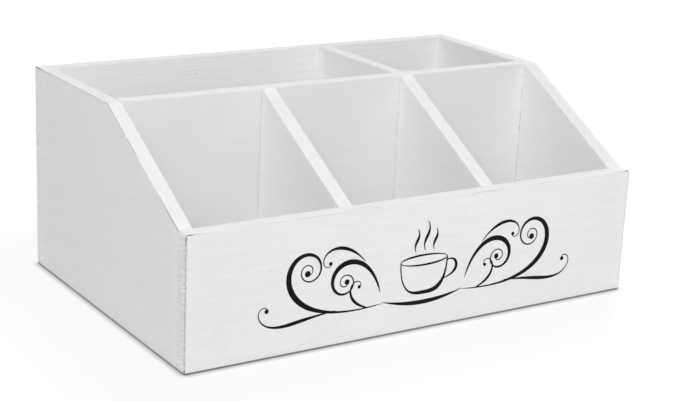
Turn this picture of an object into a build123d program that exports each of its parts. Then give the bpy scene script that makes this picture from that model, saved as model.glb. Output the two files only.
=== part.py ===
from build123d import *
import os

# A countertop organizer made of thin painted boards that are glued and nailed together.
# X runs to the right, Y to the back and Z up, in millimetres.
# The origin is on the table, under the middle of the box.

# Overall sizes of the box
overall_width = 320.0
overall_depth = 210.8
back_height = 132.0
front_height = 81.3
side_rim_length = 109.2

# Boards: the four walls, the dividers between them and the floor
wall_thickness = 9.5
divider_thickness = 9.5
bottom_thickness = 6.0

# Sanding: exposed edges, edges inside a joint, and the corners of the outline
arris_radius = 0.8
joint_easing = 0.1
front_corner_radius = 2.0
back_corner_radius = 1.0
knee_radius = 3.0

# Nails, which are sunk below the face and covered with filler
nail_length = 25.0
shank_diameter = 1.2
head_diameter = 2.0
head_thickness = 0.6
tip_length = 1.6
set_depth = 1.2
nail_clearance = 0.05
cut_overrun = 1.0

# Nail rows, as shares of the height or length of the joint that they hold
front_row_shares = (0.28, 0.74)
back_row_shares = (0.15, 0.5, 0.85)
divider_row_shares = (0.2, 0.5, 0.8)
floor_row_shares = (0.12, 0.5, 0.88)

# Places that follow from the sizes
half_width = overall_width / 2
half_depth = overall_depth / 2
inner_half_width = half_width - wall_thickness
inner_front = wall_thickness - half_depth
inner_back = half_depth - wall_thickness
knee = half_depth - side_rim_length
long_divider_back = knee + divider_thickness
front_compartment_count = 3
front_divider_count = front_compartment_count - 1
open_width = 2 * inner_half_width - front_divider_count * divider_thickness
compartment_width = open_width / front_compartment_count
divider_pitch = compartment_width + divider_thickness
left_divider_x = -divider_pitch / 2
right_divider_x = divider_pitch / 2
side_middle_x = half_width - wall_thickness / 2
long_divider_middle = knee + divider_thickness / 2
floor_middle = bottom_thickness / 2
drive_back = (0, 1, 0)
drive_forward = (0, -1, 0)
drive_right = (1, 0, 0)
drive_left = (-1, 0, 0)


def between(low, high):
    """A plain board between its lowest and highest corner."""
    size = [top - bottom for bottom, top in zip(low, high)]
    middle = [(top + bottom) / 2 for bottom, top in zip(low, high)]
    return Pos(*middle) * Box(*size)


def slanted(low_x, high_x, outline):
    """A board with the given outline in Y and Z, square through its thickness along X."""
    face = make_face(Polyline(*[(low_x, y, z) for y, z in outline], close=True))
    return extrude(face, amount=high_x - low_x, dir=drive_right)


def rounded_outline(board, axis, radius, level):
    """Rounds the corners of a board's outline: its edges along axis, at the top or the bottom."""
    corners = board.edges().filter_by(axis).group_by(Axis.Z)[level]
    return fillet(corners, radius)


def eased_face(board, axis, side, radius):
    """Eases the whole outline of the face that lies furthest one way along axis."""
    face = board.faces().sort_by(axis)[side]
    return fillet(face.edges(), radius)


def eased_ends(board, axis):
    """Eases the two sawn ends of a board that butt against other boards."""
    for side in (0, -1):
        board = eased_face(board, axis, side, joint_easing)
    return board


def rim_edges(board, axis):
    """The exposed upper edges, on both broad faces of a board whose thickness runs along axis."""
    edges = ShapeList()
    for side in (0, -1):
        outline = board.faces().sort_by(axis)[side].edges()
        outline = outline - outline.filter_by(Axis.Z)
        edges += outline - outline.group_by(Axis.Z)[0]
    return edges


def spread(low, high, shares):
    """Places between low and high, at the given shares of the way."""
    return [low + share * (high - low) for share in shares]


def turned(profile):
    """A round piece from its outline of radius and depth, about the Z axis."""
    outline = Polyline(*[(radius, 0, depth) for radius, depth in profile], close=True)
    return revolve(make_face(outline), axis=Axis.Z)


def nail():
    """A thin nail, driven along +Z, its head sunk below the face at zero."""
    head = head_diameter / 2
    shank = shank_diameter / 2
    head_end = set_depth + head_thickness
    tip = set_depth + nail_length
    outline = [(0, set_depth), (head, set_depth), (head, head_end), (shank, head_end)]
    return turned(outline + [(shank, tip - tip_length), (0, tip)])


def nail_bore():
    """The hole that a nail and its filler sit in, open at the face."""
    head = head_diameter / 2 + nail_clearance
    shank = shank_diameter / 2 + nail_clearance
    head_end = set_depth + head_thickness + nail_clearance
    tip = set_depth + nail_length + nail_clearance
    outline = [(0, -cut_overrun), (head, -cut_overrun), (head, head_end), (shank, head_end)]
    return turned(outline + [(shank, tip - tip_length), (0, tip)])


def filler_plug():
    """The plug of filler over a sunk nail head, flush with the face."""
    head = head_diameter / 2
    return turned([(0, 0), (head, 0), (head, set_depth), (0, set_depth)])


def driven(points, direction):
    """A place for each nail, on the face where it goes in and facing the way it is driven."""
    return [Plane(origin=point, z_dir=direction) for point in points]


def placed(piece, places):
    """One copy of a piece at each place."""
    return [place * piece for place in places]


def wall_nails(y, direction, wall_height, row_shares, divider_xs):
    """Nails through the front or back wall, into the side walls, the dividers and the floor."""
    points = []
    for x in (-side_middle_x, side_middle_x):
        points += [(x, y, z) for z in spread(0, wall_height, row_shares)]
    for x in divider_xs:
        points += [(x, y, z) for z in spread(bottom_thickness, wall_height, row_shares)]
    points += [(x, y, floor_middle) for x in spread(-inner_half_width, inner_half_width, floor_row_shares)]
    return driven(points, direction)


def side_nails(x, direction):
    """Nails through a side wall, into the end of the long divider and the edge of the floor."""
    heights = spread(bottom_thickness, back_height, divider_row_shares)
    points = [(x, long_divider_middle, z) for z in heights]
    points += [(x, y, floor_middle) for y in spread(inner_front, inner_back, floor_row_shares)]
    return driven(points, direction)


def long_divider_nails():
    """Nails through the long divider, into the back ends of the two front dividers."""
    heights = spread(bottom_thickness, back_height, divider_row_shares)
    points = [(x, long_divider_back, z) for x in (left_divider_x, right_divider_x) for z in heights]
    return driven(points, drive_forward)


def front_panel():
    """The low front board, across the front ends of the side boards."""
    board = between((-half_width, -half_depth, 0), (half_width, inner_front, front_height))
    board = rounded_outline(board, Axis.Y, front_corner_radius, -1)
    board = rounded_outline(board, Axis.Y, arris_radius, 0)
    board = eased_face(board, Axis.Y, 0, arris_radius)
    return eased_face(board, Axis.Y, -1, joint_easing)


def back_panel():
    """The tall back board, across the back ends of the side boards."""
    board = between((-half_width, inner_back, 0), (half_width, half_depth, back_height))
    board = rounded_outline(board, Axis.Y, back_corner_radius, -1)
    board = rounded_outline(board, Axis.Y, arris_radius, 0)
    board = eased_face(board, Axis.Y, -1, arris_radius)
    return eased_face(board, Axis.Y, 0, joint_easing)


def side_panel(low_x):
    """A side board: level at the back, and slanted from the knee down to the front board."""
    level_rim = [(knee, back_height), (inner_back, back_height), (inner_back, 0)]
    board = slanted(low_x, low_x + wall_thickness, [(inner_front, 0), (inner_front, front_height)] + level_rim)
    top_corners = board.edges().filter_by(Axis.X).group_by(Axis.Z)[-1]
    board = fillet(top_corners.sort_by(Axis.Y)[0], knee_radius)
    board = fillet(rim_edges(board, Axis.X), arris_radius)
    return eased_ends(board, Axis.Y)


def bottom_panel():
    """The thin floor board, inside the four walls and level with their lower edges."""
    board = between((-inner_half_width, inner_front, 0), (inner_half_width, inner_back, bottom_thickness))
    return fillet(board.edges(), joint_easing)


def long_divider():
    """The board across the box, its front face at the knee of the side boards."""
    low = (-inner_half_width, knee, bottom_thickness)
    board = between(low, (inner_half_width, long_divider_back, back_height))
    board = fillet(rim_edges(board, Axis.Y), arris_radius)
    return eased_ends(board, Axis.X)


def rear_divider():
    """The short level board between the long divider and the back board."""
    low_x = right_divider_x - divider_thickness / 2
    low = (low_x, long_divider_back, bottom_thickness)
    board = between(low, (low_x + divider_thickness, inner_back, back_height))
    board = fillet(rim_edges(board, Axis.X), arris_radius)
    return eased_ends(board, Axis.Y)


def front_divider(middle_x):
    """A slanted board between the long divider and the front board."""
    low_x = middle_x - divider_thickness / 2
    front_end = [(inner_front, bottom_thickness), (inner_front, front_height)]
    back_end = [(knee, back_height), (knee, bottom_thickness)]
    board = slanted(low_x, low_x + divider_thickness, front_end + back_end)
    board = fillet(rim_edges(board, Axis.X), arris_radius)
    return eased_ends(board, Axis.Y)


# Nails, by the board that they go in through
front_nails = wall_nails(-half_depth, drive_back, front_height, front_row_shares, (left_divider_x, right_divider_x))
back_nails = wall_nails(half_depth, drive_forward, back_height, back_row_shares, (right_divider_x,))
left_nails = side_nails(-half_width, drive_right)
right_nails = side_nails(half_width, drive_left)
divider_nails = long_divider_nails()

# Each board with the nails that go through it or into it
boards = {
    "front_panel": (front_panel(), front_nails),
    "back_panel": (back_panel(), back_nails),
    "left_side_panel": (side_panel(-half_width), front_nails + back_nails + left_nails),
    "right_side_panel": (side_panel(inner_half_width), front_nails + back_nails + right_nails),
    "bottom_panel": (bottom_panel(), front_nails + back_nails + left_nails + right_nails),
    "long_divider": (long_divider(), left_nails + right_nails + divider_nails),
    "rear_divider": (rear_divider(), back_nails),
    "front_divider_left": (front_divider(left_divider_x), front_nails + divider_nails),
    "front_divider_right": (front_divider(right_divider_x), front_nails + divider_nails),
}
nail_groups = {
    "front_panel": front_nails,
    "back_panel": back_nails,
    "left_side_panel": left_nails,
    "right_side_panel": right_nails,
    "long_divider": divider_nails,
}

os.makedirs("parts", exist_ok=True)
for name, (board, nails) in boards.items():
    drilled = board - placed(nail_bore(), nails)
    export_step(drilled, f"parts/{name}.step")
for name, nails in nail_groups.items():
    export_step(Compound(placed(nail(), nails)), f"parts/{name}_nails.step")
    export_step(Compound(placed(filler_plug(), nails)), f"parts/{name}_filler.step")
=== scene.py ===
import math

import bmesh
import bpy
import numpy as np
from mathutils import Euler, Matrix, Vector


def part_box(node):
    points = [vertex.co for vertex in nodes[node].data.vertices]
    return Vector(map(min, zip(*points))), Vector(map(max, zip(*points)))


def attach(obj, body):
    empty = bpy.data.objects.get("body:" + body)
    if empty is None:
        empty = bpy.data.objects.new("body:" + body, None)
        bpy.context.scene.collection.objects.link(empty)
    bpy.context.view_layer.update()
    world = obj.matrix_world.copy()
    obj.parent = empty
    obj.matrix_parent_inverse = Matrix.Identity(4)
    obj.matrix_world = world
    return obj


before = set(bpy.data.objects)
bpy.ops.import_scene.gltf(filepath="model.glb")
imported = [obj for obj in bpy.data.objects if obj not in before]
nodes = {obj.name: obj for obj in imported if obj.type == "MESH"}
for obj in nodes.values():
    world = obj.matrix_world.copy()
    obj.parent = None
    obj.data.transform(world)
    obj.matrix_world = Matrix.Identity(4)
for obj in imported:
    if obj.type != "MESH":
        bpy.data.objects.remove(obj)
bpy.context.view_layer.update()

# The front board: a low softwood board, sawn, sanded and brushed with thin white paint along its length.
# It is nailed over the front ends of the side boards, so its end grain shows at both sides.
# The paint sinks into the pores, and has rubbed through in places along the sanded edges.
paint_white = (0.937, 0.937, 0.935)
# The rims' white is a little warmer, as worn tops are, and darker: painted shade that holds the tops down
# where the lamps light them most.
rim_warm_shaded_white = (0.852, 0.852, 0.843, 1)
# The bare wood's colour also paints the shadow line along the foot, where the box meets the table.
bare_wood_and_foot_shadow = (0.20, 0.195, 0.188, 1)
pore_grey = (0.50, 0.49, 0.475, 1)
paint_shine = 0.35
grain_relief = 0.00008
front_seed = (0.11, 0.37, 0.05)
front_heart = (0.0, -0.05, 0.01)

# A board without a slope has its slanted plane far above it. An edge inside a joint counts as a centimetre
# away, so that it shows no wear.
no_slope = (0, 0, 1)
no_slope_reach = 9.0
joint_reach = 0.01
open_side = Vector((0, 0, 0))
joined_side = Vector((0, joint_reach, 0))


def feed(tree, node, inputs):
    """Gives a node's inputs what belongs there: a plain value, or the output of an earlier node."""
    for name, value in dict(inputs).items():
        if isinstance(value, bpy.types.NodeSocket):
            tree.links.new(value, node.inputs[name])
        else:
            node.inputs[name].default_value = value


def add(tree, kind, inputs=(), **settings):
    """Adds one shader node, with its settings and its inputs."""
    made = tree.nodes.new(kind)
    for name, value in settings.items():
        setattr(made, name, value)
    feed(tree, made, inputs)
    return made


def maths(tree, operation, *values, clamp=False):
    """One step of arithmetic on numbers."""
    return add(tree, "ShaderNodeMath", enumerate(values), operation=operation, use_clamp=clamp).outputs[0]


def scaled(tree, value, factor, shift=0.0):
    """The value times the factor, plus the shift."""
    return maths(tree, "MULTIPLY_ADD", value, factor, shift)


def product(tree, *values):
    """All the values multiplied together."""
    total = values[0]
    for value in values[1:]:
        total = maths(tree, "MULTIPLY", total, value)
    return total


def vector_maths(tree, operation, *values):
    """One step of arithmetic on vectors."""
    return add(tree, "ShaderNodeVectorMath", enumerate(values), operation=operation).outputs[0]


def dot(tree, first, second):
    """The dot product of two vectors."""
    return add(tree, "ShaderNodeVectorMath", {0: first, 1: second}, operation="DOT_PRODUCT").outputs["Value"]


def ramp(tree, value, low, high, start=0.0, end=1.0):
    """A smooth step from start to end, as value goes from low to high."""
    inputs = {"Value": value, "From Min": low, "From Max": high, "To Min": start, "To Max": end}
    return add(tree, "ShaderNodeMapRange", inputs, interpolation_type="SMOOTHSTEP").outputs["Result"]


def blend_colour(tree, share, first, second):
    """The first colour, going over to the second as share goes from 0 to 1."""
    made = add(tree, "ShaderNodeMix", data_type="RGBA")
    in_use = [number for number, socket in enumerate(made.inputs) if socket.enabled]
    feed(tree, made, zip(in_use, (share, first, second)))
    return [socket for socket in made.outputs if socket.enabled][0]


def noise(tree, place, scale, detail=2.0, roughness=0.5):
    """Cloudy noise from 0 to 1, whose lumps are about one metre over scale across."""
    inputs = {"Vector": place, "Scale": scale, "Detail": detail, "Roughness": roughness}
    return add(tree, "ShaderNodeTexNoise", inputs).outputs["Fac"]


def new_group(name, inputs, outputs):
    """An empty node group with named sockets: its tree, its inputs and its outputs."""
    tree = bpy.data.node_groups.new(name, "ShaderNodeTree")
    for label, kind in inputs.items():
        tree.interface.new_socket(label, in_out="INPUT", socket_type="NodeSocket" + kind)
    for label, kind in outputs.items():
        tree.interface.new_socket(label, in_out="OUTPUT", socket_type="NodeSocket" + kind)
    return tree, tree.nodes.new("NodeGroupInput").outputs, tree.nodes.new("NodeGroupOutput").inputs


def new_material(name):
    """A new material with nodes: the material, its tree and its shader."""
    material = bpy.data.materials.new(name)
    material.use_nodes = True
    return material, material.node_tree, material.node_tree.nodes["Principled BSDF"]


def board_edges_group():
    """Where a point on a board lies: how far it is from the edges, the ends and the table, in metres.

    A point on one face is at no distance from that face's plane. Its distance from the nearest edge is the
    second smallest of its distances from the planes of all the faces. The level top and a slanted one count
    as one face. Middle and Half Size are of a box that runs on into the neighbours at the joints, so that
    only open edges count. Open End is the distance from that longer box's ends along the grain, End Distance
    is the one from the board's own ends, and Top Distance is the depth below the level or slanted top. Low
    is 1 along the edges that rest on the table, and Slanted is 1 on a slanted top.
    """
    tree, given, out = new_group(
        "board edges",
        {"Place": "Vector", "Facing": "Vector", "Middle": "Vector", "Half Size": "Vector",
         "Half Length": "Float", "Slope": "Vector", "Slope Reach": "Float", "Grain": "Vector"},
        {"Edge Distance": "Float", "End Distance": "Float", "Open End": "Float", "Top Distance": "Float",
         "End Face": "Float", "Top Face": "Float", "Low": "Float", "Slanted": "Float"})

    # How squarely a face looks along an axis, as a cosine, from not at all to fully. How far the painted
    # shadow line at the foot reaches, and how thick the skin of a slanted top is, in metres.
    square_on = (0.6, 0.8)
    foot_line = (0.0015, 0.0008)
    slanted_skin = (0.0016, 0.0010)
    offset = vector_maths(tree, "ABSOLUTE", vector_maths(tree, "SUBTRACT", given["Place"], given["Middle"]))
    inside = vector_maths(tree, "SUBTRACT", given["Half Size"], offset)
    depth = add(tree, "ShaderNodeSeparateXYZ", {"Vector": inside}).outputs
    slope_depth = maths(tree, "SUBTRACT", given["Slope Reach"], dot(tree, given["Place"], given["Slope"]))
    upright = maths(tree, "MINIMUM", depth["Z"], slope_depth)
    nearest = maths(tree, "MINIMUM", depth["X"], depth["Y"])
    second = maths(tree, "MAXIMUM", depth["X"], depth["Y"])
    second = maths(tree, "MINIMUM", second, maths(tree, "MAXIMUM", nearest, upright))
    tree.links.new(second, out["Edge Distance"])
    from_middle = dot(tree, offset, given["Grain"])
    tree.links.new(maths(tree, "SUBTRACT", given["Half Length"], from_middle), out["End Distance"])
    tree.links.new(dot(tree, inside, given["Grain"]), out["Open End"])
    tree.links.new(upright, out["Top Distance"])
    facing_end = maths(tree, "ABSOLUTE", dot(tree, given["Facing"], given["Grain"]))
    tree.links.new(ramp(tree, facing_end, *square_on), out["End Face"])
    tree.links.new(ramp(tree, dot(tree, given["Facing"], (0, 0, 1)), *square_on), out["Top Face"])
    height = add(tree, "ShaderNodeSeparateXYZ", {"Vector": given["Place"]}).outputs["Z"]
    near_table = ramp(tree, height, *foot_line)
    tree.links.new(maths(tree, "MULTIPLY", near_table, ramp(tree, second, *foot_line)), out["Low"])
    tree.links.new(ramp(tree, slope_depth, *slanted_skin), out["Slanted"])
    return tree


def painted_grain_group():
    """Thin paint on sanded wood, in a space whose X runs along the grain.

    The space is bent a little and squeezed along the grain, so that noise in it draws long streaks. Growth
    rings are circles round the log's heart, which show as long lines on the faces and as arcs on the ends.
    Pores are the highest peaks of a fine noise, as short dark dashes. The sawn ends carry marks on a slant
    instead. Where two kinds of wear meet, the stronger one counts. Every span is a distance in metres, from
    where an effect starts to where it is full.
    """
    tree, given, out = new_group(
        "painted grain",
        {"Along": "Vector", "Seed": "Vector", "Heart": "Vector", "Paint": "Color", "Shaded Rim Paint": "Color",
         "Worn And Foot Shadow": "Color", "Pore": "Color", "Streaks": "Float", "Ticks": "Float", "Pores": "Float",
         "Wear": "Float", "Joint": "Float", "Edge Distance": "Float", "End Distance": "Float",
         "Open End": "Float", "Top Distance": "Float", "End Face": "Float", "Top Face": "Float",
         "Low": "Float", "Slanted": "Float"},
        {"Colour": "Color", "Roughness": "Float", "Height": "Float"})

    # The grain wanders by a few millimetres, and its streaks come in four sizes.
    wander = (0.0, 0.004, 0.004)
    streak_stretch = (0.06, 1.0, 1.0)
    placed = vector_maths(tree, "ADD", given["Along"], given["Seed"])
    drift = add(tree, "ShaderNodeTexNoise", {"Vector": placed, "Scale": 7.0, "Detail": 2.0}).outputs["Color"]
    drift = vector_maths(tree, "SUBTRACT", drift, (0.5, 0.5, 0.5))
    bent = vector_maths(tree, "MULTIPLY_ADD", drift, wander, placed)
    grain = vector_maths(tree, "MULTIPLY", bent, streak_stretch)
    clouds = noise(tree, placed, scale=16.0, detail=3.0)
    broad = noise(tree, grain, scale=170.0)
    middle = noise(tree, grain, scale=480.0)
    fine = noise(tree, grain, scale=1150.0, roughness=0.6)
    hair = noise(tree, grain, scale=3000.0, detail=1.0)

    # Each growth ring closes with a darker line, which shows best where the paint is thin.
    ring_wander = (0.0, 0.02, 0.02)
    from_heart = vector_maths(tree, "MULTIPLY_ADD", drift, ring_wander, given["Along"])
    from_heart = vector_maths(tree, "SUBTRACT", from_heart, given["Heart"])
    waves = {"Vector": from_heart, "Scale": 62.0, "Distortion": 1.6, "Detail": 2.0, "Detail Scale": 0.35}
    rings = add(tree, "ShaderNodeTexWave", waves, wave_type="RINGS", rings_direction="X",
                wave_profile="SIN").outputs["Fac"]
    thin = ramp(tree, noise(tree, placed, scale=26.0), 0.40, 0.66)
    ring_line = product(tree, ramp(tree, rings, 0.78, 1.0), scaled(tree, thin, 0.7, 0.3))

    # The saw leaves pale and dark marks on the ends, ten times as long as they are wide.
    saw_stroke = (0.0, 0.94, -0.34)
    saw_feed = (0.0, 0.34, 0.94)
    mark_stretch = 0.1
    across = maths(tree, "MULTIPLY", dot(tree, bent, saw_stroke), mark_stretch)
    sawn = add(tree, "ShaderNodeCombineXYZ", {"Y": across, "Z": dot(tree, bent, saw_feed)}).outputs[0]
    pale_ticks = ramp(tree, noise(tree, sawn, scale=1000.0, detail=1.0), 0.60, 0.68)
    ticks = noise(tree, sawn, scale=1600.0, detail=1.0)
    dark_ticks = ramp(tree, ticks, 0.28, 0.50, start=-0.14, end=-0.03)
    end_tone = scaled(tree, pale_ticks, 0.40, dark_ticks)

    # The paint's tone is 1 where nothing shows. The grain shows nearly twice as much on the rims. Near each
    # board's ends the tone is a little lighter: painted light, standing in for what neighbouring boards
    # throw into the corners.
    rim_gain = 0.9
    ring_tone = -0.022
    cloud_tone = 0.016
    corner_light_tone = 0.02
    corner_light_span = (0.010, 0.003)
    flat = maths(tree, "SUBTRACT", 1.0, given["End Face"])
    bold = scaled(tree, given["Top Face"], rim_gain, 1.0)
    streak = 0.0
    for pattern, strength in ((broad, 0.03), (middle, 0.06), (fine, 0.12), (hair, 0.08)):
        streak = scaled(tree, maths(tree, "SUBTRACT", pattern, 0.5), strength, streak)
    streak = scaled(tree, ring_line, ring_tone, streak)
    streak = product(tree, streak, given["Streaks"], flat, bold)
    tone = scaled(tree, maths(tree, "SUBTRACT", clouds, 0.5), cloud_tone, streak)
    tone = scaled(tree, maths(tree, "MULTIPLY", end_tone, given["Ticks"]), given["End Face"], tone)
    corner = maths(tree, "MULTIPLY", ramp(tree, given["End Distance"], *corner_light_span), flat)
    tone = maths(tree, "ADD", scaled(tree, corner, corner_light_tone, tone), 1.0)
    # The tops take the rims' darker white, as painted shade.
    paint = blend_colour(tree, given["Top Face"], given["Paint"], given["Shaded Rim Paint"])
    toned = add(tree, "ShaderNodeVectorMath", {0: paint, "Scale": tone}, operation="SCALE").outputs[0]

    # The paint has sunk into the pores, most where it is thin.
    pore_peaks = ramp(tree, noise(tree, grain, scale=1900.0, detail=1.0), 0.66, 0.76)
    pores = product(tree, pore_peaks, scaled(tree, thin, 0.75, 0.25), given["Pores"], flat, bold)
    pored = blend_colour(tree, pores, toned, given["Pore"])

    # The arrises are rubbed in broken stretches, and more at the lower end of a slope, where hands go.
    dash_stretch = (0.2, 1.0, 1.0)
    handled_span = (0.036, 0.006)
    handled_wear = 0.3
    dashes = vector_maths(tree, "MULTIPLY", placed, dash_stretch)
    stretches = ramp(tree, noise(tree, placed, scale=22.0), 0.50, 0.62)
    broken = ramp(tree, noise(tree, dashes, scale=420.0), 0.36, 0.52)
    always = ramp(tree, clouds, 0.40, 0.60, start=0.16, end=0.42)
    handled = product(tree, given["Slanted"], ramp(tree, given["End Distance"], *handled_span), handled_wear)
    rubbed = maths(tree, "MULTIPLY", stretches, scaled(tree, broken, 0.25, 0.3))
    rubbed = maths(tree, "ADD", maths(tree, "MAXIMUM", rubbed, always), handled)
    rubbed = maths(tree, "MULTIPLY", rubbed, given["Wear"])

    # The open ends are knocked about the most, above all at their top corners. A slanted rim is worn less.
    end_span = (0.024, 0.003)
    end_wear = 0.32
    tip_span = (0.004, 0.002)
    tip_wear = 0.22
    top_corner_length = (0.007, 0.001)
    top_corner_depth = (0.005, 0.001)
    top_corner_wear = 0.75
    arris_span = (0.00075, 0.00035)
    slope_spared = -0.3
    at_end = maths(tree, "ADD", ramp(tree, given["Open End"], *end_span, end=end_wear),
                   ramp(tree, given["Open End"], *tip_span, end=tip_wear))
    at_end = maths(tree, "MULTIPLY", at_end, scaled(tree, broken, 0.35, 0.7))
    at_top = product(tree, ramp(tree, given["Open End"], *top_corner_length),
                     ramp(tree, given["Top Distance"], *top_corner_depth))
    at_end = scaled(tree, at_top, top_corner_wear, at_end)
    arris = ramp(tree, given["Edge Distance"], *arris_span)
    rub = product(tree, arris, maths(tree, "MAXIMUM", rubbed, at_end),
                  scaled(tree, given["Slanted"], slope_spared, 1.0))

    # A thin line of light wear runs beside each open end.
    beside_length = (0.0016, 0.0008)
    beside_depth = (0.0015, 0.0006)
    beside_end = product(tree, ramp(tree, given["Open End"], *beside_length),
                         ramp(tree, given["Edge Distance"], *beside_depth), scaled(tree, broken, 0.16, 0.10))
    rub = maths(tree, "MAXIMUM", rub, beside_end)

    # The paint has cracked in dotted lines where boards meet. Along the foot, where the box meets the table,
    # a dark line is painted shadow.
    seam_span = (0.0006, 0.0002)
    painted_foot_shadow = 0.82
    seam = product(tree, ramp(tree, given["End Distance"], *seam_span), flat, given["Joint"],
                   maths(tree, "SUBTRACT", 1.0, given["Top Face"]))
    dotted = ramp(tree, noise(tree, dashes, scale=900.0), 0.42, 0.60)
    seam = maths(tree, "MULTIPLY", seam, dotted)
    low = maths(tree, "MULTIPLY", given["Low"], painted_foot_shadow)
    bare_and_foot_shadow = maths(tree, "MAXIMUM", maths(tree, "MAXIMUM", rub, seam), low, clamp=True)
    tree.links.new(blend_colour(tree, bare_and_foot_shadow, pored, given["Worn And Foot Shadow"]), out["Colour"])

    # Bare wood is rougher than paint, and lies lower, as ring lines and pores do, and so does the painted
    # shadow along the foot. Heights are in shares of the relief's depth.
    paint_roughness = scaled(tree, fine, 0.16, 0.5)
    tree.links.new(scaled(tree, bare_and_foot_shadow, 0.12, paint_roughness), out["Roughness"])
    height = scaled(tree, broad, 0.5, maths(tree, "MULTIPLY", fine, 0.6))
    height = scaled(tree, hair, 0.2, height)
    height = scaled(tree, ring_line, -0.3, height)
    height = maths(tree, "MULTIPLY", height, maths(tree, "MULTIPLY", flat, bold))
    height = scaled(tree, maths(tree, "MULTIPLY", ticks, given["End Face"]), 0.9, height)
    height = scaled(tree, pores, -1.2, height)
    tree.links.new(scaled(tree, bare_and_foot_shadow, -0.6, height), out["Height"])
    return tree


board_edges = board_edges_group()
painted_grain = painted_grain_group()


def along_grain(tree, place, grain):
    """Object coordinates turned so that X runs along the grain, Y across it and Z stays up."""
    if grain == "X":
        return place
    parts = add(tree, "ShaderNodeSeparateXYZ", {"Vector": place}).outputs
    return add(tree, "ShaderNodeCombineXYZ", {"X": parts["Y"], "Y": parts["X"], "Z": parts["Z"]}).outputs[0]


def painted_board(name, node, grain, seed, heart, coat=1.0, streaks=0.75, ticks=0.35, pores=0.3, wear=0.25,
                  joint=0.0, slope=no_slope, slope_reach=no_slope_reach, joined=(open_side, open_side)):
    """White paint on one board, with that board's own edges, grain direction and place in the log.

    Coat is how white the paint lies on the faces: less where it is thinner. Joined is how far to run on past
    the board's low and high faces where it meets another board.
    """
    low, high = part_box(node)
    half = (high - low) / 2
    open_low, open_high = low - joined[0], high + joined[1]
    direction = (1, 0, 0) if grain == "X" else (0, 1, 0)
    material, tree, shader = new_material(name)
    coordinates = add(tree, "ShaderNodeTexCoord").outputs
    sizes = {"Place": coordinates["Object"], "Facing": coordinates["Normal"],
             "Middle": (open_low + open_high) / 2, "Half Size": (open_high - open_low) / 2,
             "Half Length": half.dot(Vector(direction)), "Slope": slope, "Slope Reach": slope_reach,
             "Grain": direction}
    edges = add(tree, "ShaderNodeGroup", sizes, node_tree=board_edges)
    settings = {"Along": along_grain(tree, coordinates["Object"], grain), "Seed": seed, "Heart": heart,
                "Paint": [coat * part for part in paint_white] + [1.0], "Shaded Rim Paint": rim_warm_shaded_white,
                "Worn And Foot Shadow": bare_wood_and_foot_shadow, "Pore": pore_grey, "Streaks": streaks, "Ticks": ticks, "Pores": pores,
                "Wear": wear, "Joint": joint}
    settings.update(edges.outputs.items())
    grained = add(tree, "ShaderNodeGroup", settings, node_tree=painted_grain)
    bump = add(tree, "ShaderNodeBump", {"Height": grained.outputs["Height"], "Distance": grain_relief})
    feed(tree, shader, {"Base Color": grained.outputs["Colour"], "Roughness": grained.outputs["Roughness"],
                        "Normal": bump.outputs["Normal"], "Specular IOR Level": paint_shine})
    return material


def dress(node, material):
    """Gives a board or another carried-over piece its material."""
    mesh = nodes[node].data
    mesh.materials.clear()
    mesh.materials.append(material)


front_paint = painted_board("front_board_paint", "front_panel", "X", front_seed, front_heart, ticks=1.1,
                            pores=0.2, wear=0.65, joined=(open_side, joined_side))
dress("front_panel", front_paint)

# The ornament: a steaming cup between pen-drawn scrolls, in matt black paint brushed on through a stencil.
# The paint lies a few hundredths of a millimetre on the white, and the grain shows in it.
# Every stroke is a thin closed slab, whose back is a little inside the board.
millimetre = 0.001
ornament_height = 0.041
paint_depth = 0.0001
paint_least = 0.00003
paint_step = 0.000002
shoulder_share = 0.4
stencil_blur = 0.00005
waver_waves = (6.1, 2.7, 1.3)
waver_size = 0.008
ornament_black = (0.006, 0.006, 0.006, 1)
ornament_grey = (0.035, 0.035, 0.034, 1)
ornament_shine = 0.1
ornament_relief = 0.00007
front_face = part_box("front_panel")[0].y
ragged = np.random.default_rng(11)


def running_sum(values, along):
    """The area under values up to each station along, by trapezoids."""
    return np.concatenate([[0.0], np.cumsum((values[1:] + values[:-1]) / 2 * np.diff(along))])


def pen_path(start, heading, length, bends, stations=150):
    """A pen stroke's centre line, in millimetres: its heading is the running sum of its bend, and its place
    is the running sum of that heading. The bends are given at even stations, in radians per millimetre."""
    along = np.linspace(0.0, length, stations)
    bend = np.interp(along, np.linspace(0.0, length, len(bends)), bends)
    facing = math.radians(heading) + running_sum(bend, along)
    x = start[0] + running_sum(np.cos(facing), along)
    z = start[1] + running_sum(np.sin(facing), along)
    return np.stack([x, z], 1)


def pen_width(stations, thin, thick, peak_share, reach_share):
    """A stroke's width: thin all along, swelling once like a bell curve, and pointed at both ends."""
    first_point = 0.05
    last_point = 0.03
    bluntness = 0.7
    tip_share = 0.2
    share = np.linspace(0.0, 1.0, stations)
    width = thin + (thick - thin) * np.exp(-((share - peak_share) / reach_share) ** 2)
    tips = np.clip(np.minimum(share / first_point, (1.0 - share) / last_point), 0.0, 1.0) ** bluntness
    return width * (tip_share + (1.0 - tip_share) * tips)


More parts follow.
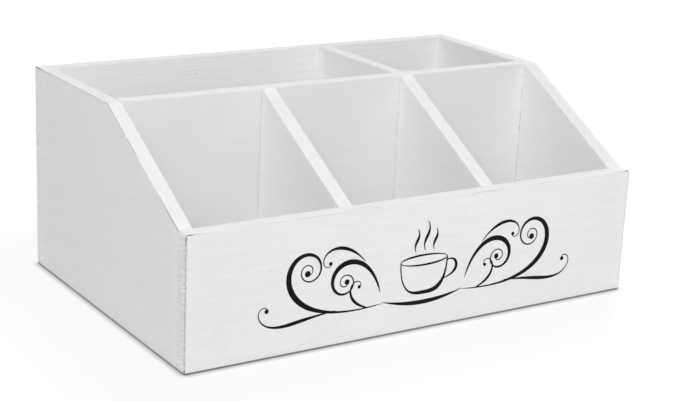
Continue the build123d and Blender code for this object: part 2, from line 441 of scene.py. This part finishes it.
def painted_stroke(path, width, layer, closed=False):
    """A thin slab along a path on the front face: six points round each station, across and out of the face.

    The width wavers by a few hundredths of a millimetre, as paint does at a stencil's edge. Each layer lies
    a little further out, so that strokes which cross share no surface.
    """
    step = np.gradient(path, axis=0)
    if closed:
        step = (np.roll(path, -1, 0) - np.roll(path, 1, 0)) / 2
    facing = step / np.linalg.norm(step, axis=1)[:, None]
    across = np.stack([-facing[:, 1], facing[:, 0]], 1)
    along = np.concatenate([[0.0], np.cumsum(np.linalg.norm(np.diff(path, axis=0), axis=1))])
    sides = np.empty((2, len(path)))
    for side in range(2):
        waver = sum(np.sin(2 * np.pi * (along / wave + ragged.random())) for wave in waver_waves)
        sides[side] = width / 2 * millimetre + waver * waver_size * millimetre * np.clip(width, 0.0, 1.0)
    left, right = sides[0], -sides[1]
    ease = np.minimum(stencil_blur, (left - right) / 4)
    proud = paint_least + paint_step * layer
    shoulder = shoulder_share * proud
    offsets = np.stack([left, left, left - ease, right + ease, right, right], 1)
    depths = np.array([paint_depth, -shoulder, -proud, -proud, -shoulder, paint_depth])
    x = path[:, 0, None] * millimetre + across[:, 0, None] * offsets
    z = path[:, 1, None] * millimetre + across[:, 1, None] * offsets + ornament_height
    points = np.stack([x, front_face + np.broadcast_to(depths, x.shape), z], 2)
    rows, round_count = x.shape
    last = rows if closed else rows - 1
    here = np.arange(last)[:, None] * round_count + np.arange(round_count)[None, :]
    up = here + round_count
    if closed:
        up = up % (rows * round_count)
    beside = np.roll(np.arange(round_count), -1)[None, :] - np.arange(round_count)[None, :]
    quads = np.stack([here, up, up + beside, here + beside], 2).reshape(-1, 4).tolist()
    if not closed:
        ring = np.arange(round_count)
        quads += [ring.tolist(), (ring + (rows - 1) * round_count)[::-1].tolist()]
    return points.reshape(-1, 3), quads


def drop(middle, radius, layer):
    """The round drop of paint that ends a stroke: a slab whose width follows a circle along a short path."""
    blunt_turn = 0.06
    stations = 26
    turn = np.linspace(blunt_turn, math.pi - blunt_turn, stations)
    path = np.stack([middle[0] - radius * np.cos(turn), np.full_like(turn, middle[1])], 1)
    return painted_stroke(path, 2 * radius * np.sin(turn), layer)


def painted_piece(name, slabs, material):
    """One piece made of the given slabs, riding with the box."""
    points, faces, start = [], [], 0
    for slab_points, slab_faces in slabs:
        points.append(slab_points)
        faces += [[corner + start for corner in face] for face in slab_faces]
        start += len(slab_points)
    mesh = bpy.data.meshes.new(name)
    mesh.from_pydata(np.concatenate(points), [], faces)
    shape = bmesh.new()
    shape.from_mesh(mesh)
    bmesh.ops.recalc_face_normals(shape, faces=shape.faces)
    shape.to_mesh(mesh)
    shape.free()
    mesh.materials.append(material)
    piece = bpy.data.objects.new(name, mesh)
    bpy.context.scene.collection.objects.link(piece)
    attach(piece, "root")
    return piece


def black_paint():
    """Thin matt black paint: streaked along the front board's grain, and a little greyer in its pores, where
    less of the paint stays."""
    well_inside = 1.0
    material, tree, shader = new_material("ornament_black_paint")
    settings = {"Along": add(tree, "ShaderNodeTexCoord").outputs["Object"], "Seed": front_seed,
                "Heart": front_heart, "Paint": ornament_black, "Shaded Rim Paint": ornament_black,
                "Worn And Foot Shadow": ornament_grey, "Pore": ornament_grey, "Streaks": 3.0, "Pores": 0.9,
                "Edge Distance": well_inside, "End Distance": well_inside, "Open End": well_inside,
                "Top Distance": well_inside}
    grained = add(tree, "ShaderNodeGroup", settings, node_tree=painted_grain)
    bump = add(tree, "ShaderNodeBump", {"Height": grained.outputs["Height"], "Distance": ornament_relief})
    matt = ramp(tree, grained.outputs["Roughness"], 0.5, 0.66, start=0.55, end=0.75)
    feed(tree, shader, {"Base Color": grained.outputs["Colour"], "Roughness": matt,
                        "Normal": bump.outputs["Normal"], "Specular IOR Level": ornament_shine})
    return material


# Each scroll: where it starts, its heading, its length, its bends at even stations, how thin and thick it
# is, where it is thickest and over what share of its length, and the radius of the drop at its end.
scrolls = (
    ((29, -20), -6, 150, (0.004, 0.008, 0.016, 0.040, 0.078, 0.11, 0.165, 0.36), 0.7, 3.6, 0.47, 0.22, 1.9),
    ((31, -13), 74, 98, (-0.016, -0.034, -0.068, -0.10, -0.14, -0.2, -0.40), 0.7, 3.2, 0.36, 0.25, 1.7),
    ((62, -19), -6, 66, (0.006, -0.006, 0.0, 0.034, 0.11, 0.42), 0.6, 2.3, 0.42, 0.25, 1.4),
    ((42.5, 8), 52, 45, (-0.030, -0.032, -0.045, -0.085, -0.19, -0.48), 0.5, 2.1, 0.42, 0.26, 1.2),
    ((40, -20.7), 16, 32, (0.03, 0.07, 0.16, 0.5), 0.5, 1.8, 0.35, 0.3, 1.1),
)
drop_inset = 0.6
black = black_paint()
scroll_slabs = []
for layer, (start, heading, length, bends, thin, thick, peak, reach, drop_radius) in enumerate(scrolls):
    path = pen_path(start, heading, length, bends)
    width = pen_width(len(path), thin, thick, peak, reach)
    inward = math.copysign(1.0, bends[-1]) * np.array([path[-2, 1] - path[-1, 1], path[-1, 0] - path[-2, 0]])
    middle = path[-1] + inward / np.linalg.norm(inward) * drop_radius * drop_inset
    for side in (1, -1):
        mirror = np.array([side, 1])
        scroll_slabs.append(painted_stroke(path * mirror, width, layer))
        scroll_slabs.append(drop(middle * mirror, drop_radius, layer + len(scrolls)))
painted_piece("ornament_scrolls", scroll_slabs, black)

# The cup: black paint through the same stencil. Its rim is an ellipse, its bowl a rounded curve under it,
# its handle one stroke of the pen, and its saucer a shallow arc. All sizes are in millimetres.
cup_half_width = 17.0
rim_half_height = 3.1
rim_middle = 3.0
rim_thin = 0.55
rim_swell = 0.75
rim_lean = 0.3
bowl_depth = 20.5
bowl_side_curve = 0.62
bowl_foot_curve = 0.9
bowl_thin = 0.9
bowl_swell = 2.1
bowl_peak = 0.62
bowl_reach = 0.2
saucer_half_width = 29.0
saucer_level = -19.5
saucer_dip = 4.2
saucer_thin = 0.4
saucer_swell = 2.4
saucer_taper = 1.2
turn = np.linspace(0.0, 2 * math.pi, 160, endpoint=False)
rim = np.stack([cup_half_width * np.cos(turn), rim_middle + rim_half_height * np.sin(turn)], 1)
rim_width = rim_thin + rim_swell * np.abs(np.sin(turn - rim_lean)) ** 2
turn = np.linspace(0.0, math.pi, 150)
bowl_x = -cup_half_width * np.sign(np.cos(turn)) * np.abs(np.cos(turn)) ** bowl_side_curve
bowl = np.stack([bowl_x, rim_middle - bowl_depth * np.sin(turn) ** bowl_foot_curve], 1)
bowl_width = bowl_thin + bowl_swell * np.exp(-((turn / math.pi - bowl_peak) / bowl_reach) ** 2)
handle = pen_path((15.8, 0.2), heading=22, length=24.3, bends=(-0.04, -0.24, -0.20, -0.08, 0.0))
handle_width = pen_width(len(handle), thin=0.8, thick=2.1, peak_share=0.5, reach_share=0.25)
share = np.linspace(-1.0, 1.0, 110)
saucer = np.stack([saucer_half_width * share, saucer_level - saucer_dip * (1 - share ** 2)], 1)
saucer_width = saucer_thin + saucer_swell * (1 - share ** 2) ** saucer_taper
painted_piece("ornament_cup", [
    painted_stroke(rim, rim_width, layer=0, closed=True),
    painted_stroke(bowl, bowl_width, layer=1),
    painted_stroke(handle, handle_width, layer=2),
    painted_stroke(saucer, saucer_width, layer=6),
], black)

# The steam: three short strokes of the same paint above the cup, that bend one way and then the other.
# Each wisp has its place over the rim, in millimetres, and its size.
wisps = ((-6.5, 8.5, 0.8), (0.5, 8.5, 1.05), (7.0, 8.5, 0.75))
wisp_heading = 118
wisp_length = 19
steam_slabs = []
for x, z, size in wisps:
    bends = (-0.10 / size, -0.16 / size, 0.02, 0.16 / size, 0.12 / size)
    path = pen_path((x, z), wisp_heading, wisp_length * size, bends)
    width = pen_width(len(path), thin=0.4, thick=2.0, peak_share=0.5, reach_share=0.3)
    steam_slabs.append(painted_stroke(path, width, layer=0))
painted_piece("ornament_steam", steam_slabs, black)

# The back board: the tallest one, of the same stock, nailed over the back ends of the side boards.
# Its inner face shows above the long divider, and its whole outer face is plain painted wood.
back_paint = painted_board("back_board_paint", "back_panel", "X", (0.73, 0.19, 0.42), (0.0, 0.19, -0.03),
                           coat=1.03, streaks=1.1, ticks=0.7, pores=0.4, wear=0.9,
                           joined=(joined_side, open_side))
dress("back_panel", back_paint)

# The two side boards: of the same stock, level at the back and sawn on a slant down to the front board.
# Their grain runs from front to back, and the slanted rim is sawn across it.
front_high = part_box("front_panel")[1]
divider_low, divider_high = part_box("long_divider")
rise = divider_high.z - front_high.z
run = divider_low.y - front_high.y
slope_length = math.hypot(rise, run)
slope_normal = Vector((0, -rise / slope_length, run / slope_length))
slope_foot = Vector((0, front_high.y, front_high.z))
slope_reach = slope_normal.dot(slope_foot)
both_ends = (joined_side, joined_side)
left_paint = painted_board("left_side_paint", "left_side_panel", "Y", (2.18, 0.85, 0.62),
                           (0.0, -0.20, 0.05), streaks=0.6, wear=1.3, joint=0.1, slope=slope_normal,
                           slope_reach=slope_reach, joined=both_ends)
right_paint = painted_board("right_side_paint", "right_side_panel", "Y", (0.57, 0.91, 0.23),
                            (0.0, 0.21, 0.02), coat=0.97, streaks=0.6, joint=0.1, slope=slope_normal,
                            slope_reach=slope_reach, joined=both_ends)
dress("left_side_panel", left_paint)
dress("right_side_panel", right_paint)

# The floor board: a thinner board of the same softwood inside the four walls, level with their lower edges.
# It is nailed through them and painted with them.
floor_paint = painted_board("floor_board_paint", "bottom_panel", "X", (0.05, 0.44, 0.61), (0.0, 0.03, -0.09),
                            streaks=0.6)
dress("bottom_panel", floor_paint)

# The long divider: a full-height board of the same stock, between the side boards at the knee of their rims.
# It is nailed through them, and its paint has cracked a little in the inner corners.
joined_end = Vector((joint_reach, 0, 0))
long_divider_paint = painted_board("long_divider_paint", "long_divider", "X", (0.83, 0.05, 0.17),
                                   (0.0, 0.08, 0.04), coat=0.94, streaks=0.45, pores=0.15, joint=0.8,
                                   joined=(joined_end, joined_end))
dress("long_divider", long_divider_paint)

# The rear divider: a short level board of the same stock, that parts the two rear compartments.
# It stands between the long divider and the back board, and is nailed through the back board.
rear_divider_paint = painted_board("rear_divider_paint", "rear_divider", "Y", (0.21, 0.77, 0.35),
                                   (0.0, 0.12, 0.02), pores=0.15, joint=0.3, joined=both_ends)
dress("rear_divider", rear_divider_paint)

# The two front dividers: of the same stock, slanted like the side boards, between the long divider and the
# front board. They are nailed through both, and differ only in where they were cut from the log.
left_divider_paint = painted_board("left_divider_paint", "front_divider_left", "Y", (0.47, 0.13, 0.71),
                                   (0.0, -0.11, 0.03), coat=0.97, pores=0.15, joint=0.8,
                                   slope=slope_normal, slope_reach=slope_reach, joined=both_ends)
right_divider_paint = painted_board("right_divider_paint", "front_divider_right", "Y", (0.93, 0.52, 0.09),
                                    (0.0, -0.01, -0.03), coat=0.97, pores=0.15, joint=0.8,
                                    slope=slope_normal, slope_reach=slope_reach, joined=both_ends)
dress("front_divider_left", left_divider_paint)
dress("front_divider_right", right_divider_paint)

# The nails: thin drawn wire, bright steel with fine marks along the shank. They are driven through the four
# walls and the long divider into the boards behind, and their heads are sunk below the face.
steel_dull = (0.42, 0.42, 0.43, 1)
steel_bright = (0.62, 0.62, 0.63, 1)
nailed_boards = {
    "front_panel": front_paint,
    "back_panel": back_paint,
    "left_side_panel": left_paint,
    "right_side_panel": right_paint,
    "long_divider": long_divider_paint,
}


def drawn_wire():
    """Bright steel wire whose roughness and tone vary with fine noise, as drawn wire does."""
    material, tree, shader = new_material("drawn_wire")
    marks = noise(tree, add(tree, "ShaderNodeTexCoord").outputs["Object"], scale=2400.0, detail=3.0)
    feed(tree, shader, {"Base Color": blend_colour(tree, marks, steel_dull, steel_bright),
                        "Roughness": ramp(tree, marks, 0.2, 0.8, start=0.28, end=0.45), "Metallic": 1.0})
    return material


wire = drawn_wire()
for board in nailed_boards:
    dress(board + "_nails", wire)

# The filler: putty pressed over each sunk nail head and sanded flush.
# It is painted in one go with the board around it, so it has that board's paint.
for board, material in nailed_boards.items():
    dress(board + "_filler", material)

# The table: a plain pale sheet, slightly shiny. Near the box it is a little whiter: painted light, which
# throws more light onto the box's foot. It fades to white a little way off and keeps the box's shadow. The
# shade at the foot comes from how closed in the gap is.
table_half = 4.0
table_level = -0.0001
table_tone = 0.65
foot_light_tone = 0.71
foot_light_width = 0.03
table_lift = 0.86
fade_start = 0.005
fade_end = 0.11
foot_reach = 0.0048
table_roughness = 0.3
table_shine = 0.5
white = (1, 1, 1, 1)
corners = [(-table_half, -table_half, table_level), (table_half, -table_half, table_level),
           (table_half, table_half, table_level), (-table_half, table_half, table_level)]
table_mesh = bpy.data.meshes.new("table")
table_mesh.from_pydata(corners, [], [(0, 1, 2, 3)])
table = bpy.data.objects.new("table", table_mesh)
bpy.context.scene.collection.objects.link(table)
table_material, sheet, sheet_shader = new_material("table_sheet")
foot_shade = add(sheet, "ShaderNodeAmbientOcclusion", {"Distance": foot_reach}, samples=16).outputs["AO"]
from_middle = vector_maths(sheet, "ABSOLUTE", add(sheet, "ShaderNodeTexCoord").outputs["Object"])
past_box = vector_maths(sheet, "SUBTRACT", from_middle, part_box("back_panel")[1])
past_box = vector_maths(sheet, "MAXIMUM", past_box, (0, 0, 0))
beside_box = add(sheet, "ShaderNodeVectorMath", {0: past_box}, operation="LENGTH").outputs["Value"]
sheet_tone = ramp(sheet, beside_box, 0.0, foot_light_width, foot_light_tone, table_tone)
feed(sheet, sheet_shader, {"Base Color": maths(sheet, "MULTIPLY", sheet_tone, foot_shade),
                           "Roughness": table_roughness, "Specular IOR Level": table_shine})
plain_white = add(sheet, "ShaderNodeEmission", {"Color": white, "Strength": foot_shade}).outputs[0]
fade = ramp(sheet, beside_box, fade_start, fade_end, table_lift, 1.0)
seen = add(sheet, "ShaderNodeLightPath").outputs["Is Camera Ray"]
lift = maths(sheet, "MULTIPLY", seen, fade)
lifted = add(sheet, "ShaderNodeMixShader", {0: lift, 1: sheet_shader.outputs[0], 2: plain_white}).outputs[0]
sheet.links.new(lifted, sheet.nodes["Material Output"].inputs["Surface"])
table_mesh.materials.append(table_material)

# The light: a white room with three broad soft lamps, to the left of the box, in front of it and behind it
# on the right. Two smaller ones nearer by give the front board and the rims a little more in the middle.
ambient = 0.26
lamp_aim = Vector((0, 0, 0.06))
world = bpy.data.worlds.new("studio")
bpy.context.scene.world = world
world.use_nodes = True
sky = world.node_tree
sky.nodes.clear()
room = add(sky, "ShaderNodeBackground", {"Color": white, "Strength": ambient}).outputs[0]
backdrop = add(sky, "ShaderNodeBackground", {"Color": white, "Strength": 1.0}).outputs[0]
rays = add(sky, "ShaderNodeLightPath").outputs
mirrored = maths(sky, "MAXIMUM", rays["Is Glossy Ray"], rays["Is Transmission Ray"])
direct = maths(sky, "MAXIMUM", rays["Is Camera Ray"], mirrored)
shown = add(sky, "ShaderNodeMixShader", {0: direct, 1: room, 2: backdrop}).outputs[0]
add(sky, "ShaderNodeOutputWorld", {"Surface": shown})


def soft_lamp(name, place, power, size):
    """A square lamp of the given side, at place, turned to the middle of the box."""
    light = bpy.data.lights.new(name, "AREA")
    light.size = size
    light.energy = power
    lamp = bpy.data.objects.new(name, light)
    lamp.location = place
    lamp.rotation_euler = (lamp_aim - Vector(place)).to_track_quat("-Z", "Y").to_euler()
    bpy.context.scene.collection.objects.link(lamp)


soft_lamp("left_lamp", (-2.4, -1.2, 2.6), power=29.5, size=2.5)
soft_lamp("front_lamp", (-0.8, -2.6, 3.2), power=45.6, size=2.5)
soft_lamp("right_lamp", (2.6, 1.4, 1.0), power=38.0, size=2.0)
soft_lamp("near_left_lamp", (-0.5, -0.3, 0.9), power=2.42, size=0.5)
soft_lamp("near_front_lamp", (0.1, -0.6, 0.25), power=0.52, size=0.3)

# The camera: from the front left and a little above, with a slight roll, as the photograph was taken.
# Its angles, its distance and the length of its lens fit the box's corners.
view_azimuth = math.radians(33.27)
view_drop = math.radians(16.65)
view_roll = math.radians(2.54)
view_distance = 1.017
view_aim = Vector((0.0049, -0.0026, 0.0520))
picture_width = 679
focal_pixels = 1564
sensor = 36.0
forward = math.cos(view_drop)
line_of_sight = Vector((math.sin(view_azimuth) * forward, math.cos(view_azimuth) * forward,
                        -math.sin(view_drop)))
camera_data = bpy.data.cameras.new("camera")
camera_data.sensor_width = sensor
camera_data.lens = focal_pixels / picture_width * sensor
camera = bpy.data.objects.new("camera", camera_data)
camera.location = view_aim - view_distance * line_of_sight
level = line_of_sight.to_track_quat("-Z", "Y")
camera.rotation_euler = (level @ Euler((0, 0, view_roll)).to_quaternion()).to_euler()
bpy.context.scene.collection.objects.link(camera)
bpy.context.scene.camera = camera
bpy.context.scene.view_settings.view_transform = "Standard"
